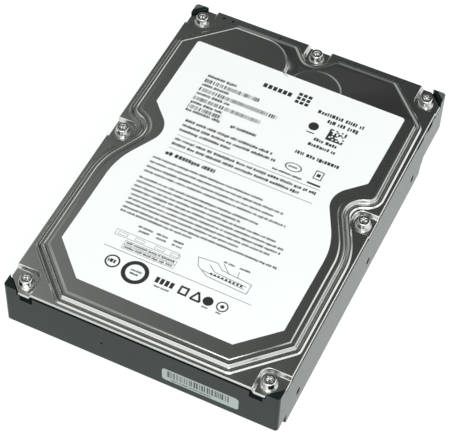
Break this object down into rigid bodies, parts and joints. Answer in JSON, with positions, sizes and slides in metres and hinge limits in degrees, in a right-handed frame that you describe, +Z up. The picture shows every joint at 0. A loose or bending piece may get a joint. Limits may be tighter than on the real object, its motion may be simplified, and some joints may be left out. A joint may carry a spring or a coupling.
{
  "type": "hard disk drive",
  "caption": "Desktop hard disk drive with a black cast base, satin steel cover and white label; discs spin and a voice coil swings the heads inside.",
  "frame": {"origin": "middle of the bounding box's underside, on the plane of the two side rails", "axes": "+Z up through the cover, +Y along the length towards the connectors, +X to the right seen from the plain front end"},
  "size_m": [0.1016, 0.147, 0.0261],
  "materials": {
    "coated_base": "glossy black electrocoat on a cast aluminium base",
    "cover_steel": "satin bead-blasted stainless sheet",
    "label_paper": "white coated label stock, printed",
    "screw_steel": "bright zinc-plated steel",
    "black_rubber": "black elastomer",
    "filter_cloth": "white non-woven filter cloth",
    "bearing_steel": "ground bearing steel",
    "core_steel": "stacked silicon steel laminations, coated",
    "copper_wire": "enamelled copper winding",
    "machined_aluminium": "machined aluminium",
    "magnet_ring": "bonded magnet, dark grey",
    "disc_mirror": "polished plated disc",
    "nickel_plate": "nickel-plated steel",
    "coil_plastic": "glass-filled moulding, black",
    "flex_amber": "amber polyimide film",
    "chip_black": "moulded chip package",
    "connector_black": "black connector moulding",
    "board_green": "solder mask over laminate",
    "foam_grey": "thin dark foam",
    "gold_contact": "gold-plated contact",
    "part_tan": "small ceramic and tantalum parts",
    "tin_can": "tinned metal can"
  },
  "bodies": {
    "base": {"top_cover": "cover_steel", "main_label": "label_paper", "cover_screws": "screw_steel", "cover_gasket": "black_rubber", "breather_filter": "filter_cloth", "base_casting": "coated_base", "front_barcode_label": "label_paper", "spindle_sleeve": "bearing_steel", "stator_core": "core_steel", "stator_coils": "copper_wire", "pivot_shaft": "bearing_steel", "pivot_inner_races": "bearing_steel", "flex_cable": "flex_amber", "lower_magnet_plate": "nickel_plate", "lower_magnets": "nickel_plate", "upper_magnets": "nickel_plate", "upper_magnet_plate": "nickel_plate", "magnet_standoffs": "bearing_steel", "magnet_screws": "screw_steel", "floor_pins": "bearing_steel", "crash_stop_sleeves": "black_rubber", "recirculation_filter": "filter_cloth", "flex_bracket": "machined_aluminium", "flex_plug": "connector_black", "bracket_screws": "screw_steel", "circuit_board": "board_green", "foam_sheet": "foam_grey", "controller_chip": "chip_black", "memory_chips": "chip_black", "motor_driver_chip": "chip_black", "crystal": "tin_can", "small_parts": "part_tan", "motor_contacts": "gold_contact", "board_screws": "screw_steel", "sata_housing": "connector_black", "power_contacts": "gold_contact", "data_contacts": "gold_contact", "jumper_block": "connector_black", "jumper_pins": "gold_contact"},
    "spindle": {"spindle_hub": "machined_aluminium", "spindle_shaft": "bearing_steel", "rotor_magnet": "magnet_ring", "disc_1": "disc_mirror", "disc_2": "disc_mirror", "disc_3": "disc_mirror", "disc_4": "disc_mirror", "disc_spacers": "machined_aluminium", "disc_clamp": "machined_aluminium", "clamp_screws": "screw_steel"},
    "actuator": {"head_stack_block": "machined_aluminium", "coil_frame": "coil_plastic", "voice_coil": "copper_wire", "suspensions": "bearing_steel", "head_sliders": "chip_black", "pivot_cartridge": "bearing_steel", "pivot_outer_races": "bearing_steel", "pivot_balls": "bearing_steel", "arm_flex": "flex_amber", "preamp_chip": "chip_black"},
    "latch": {"latch_arm": "coil_plastic"}
  },
  "joints": [
    {"name": "spindle_spin", "type": "hinge", "parent": "base", "child": "spindle", "pos_m": [0, -0.0225, 0.015], "axis": [0, 0, 1], "continuous": true},
    {"name": "actuator_swing", "type": "hinge", "parent": "base", "child": "actuator", "pos_m": [-0.024, 0.0295, 0.0155], "axis": [0, 0, 1], "range_deg": [-29.6, 0], "deforming": ["flex_cable"]},
    {"name": "latch_swing", "type": "hinge", "parent": "base", "child": "latch", "pos_m": [-0.0195, 0.066, 0.0155], "axis": [0, 0, 1], "range_deg": [0, 10]}
  ]
}
